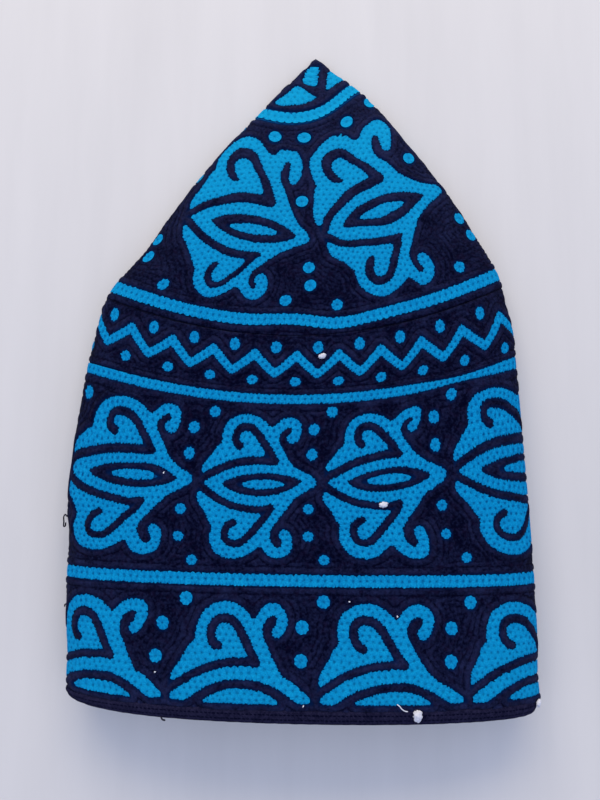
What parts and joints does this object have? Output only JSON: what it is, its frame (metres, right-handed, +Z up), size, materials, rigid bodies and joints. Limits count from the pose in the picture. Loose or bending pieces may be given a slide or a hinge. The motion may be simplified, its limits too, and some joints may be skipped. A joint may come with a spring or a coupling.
{
  "type": "prayer cap",
  "caption": "Tall pointed quilted cap of dark cloth with turquoise embroidery, lying flat on its back, hollow and open at the hem.",
  "frame": {"origin": "middle of the cap's box, on the surface that it lies on", "axes": "+Y from the opening to the tip, +Z up from the back to the front of the cap, +X to the right as the front is looked at with the tip up"},
  "size_m": [0.272, 0.4054, 0.0445],
  "materials": {
    "cloth": "quilted navy black cloth with turquoise embroidery",
    "binding": "plain navy black cloth binding"
  },
  "bodies": {
    "root": {"crown": "cloth", "side_band": "cloth", "hem_roll": "binding"}
  },
  "joints": []
}
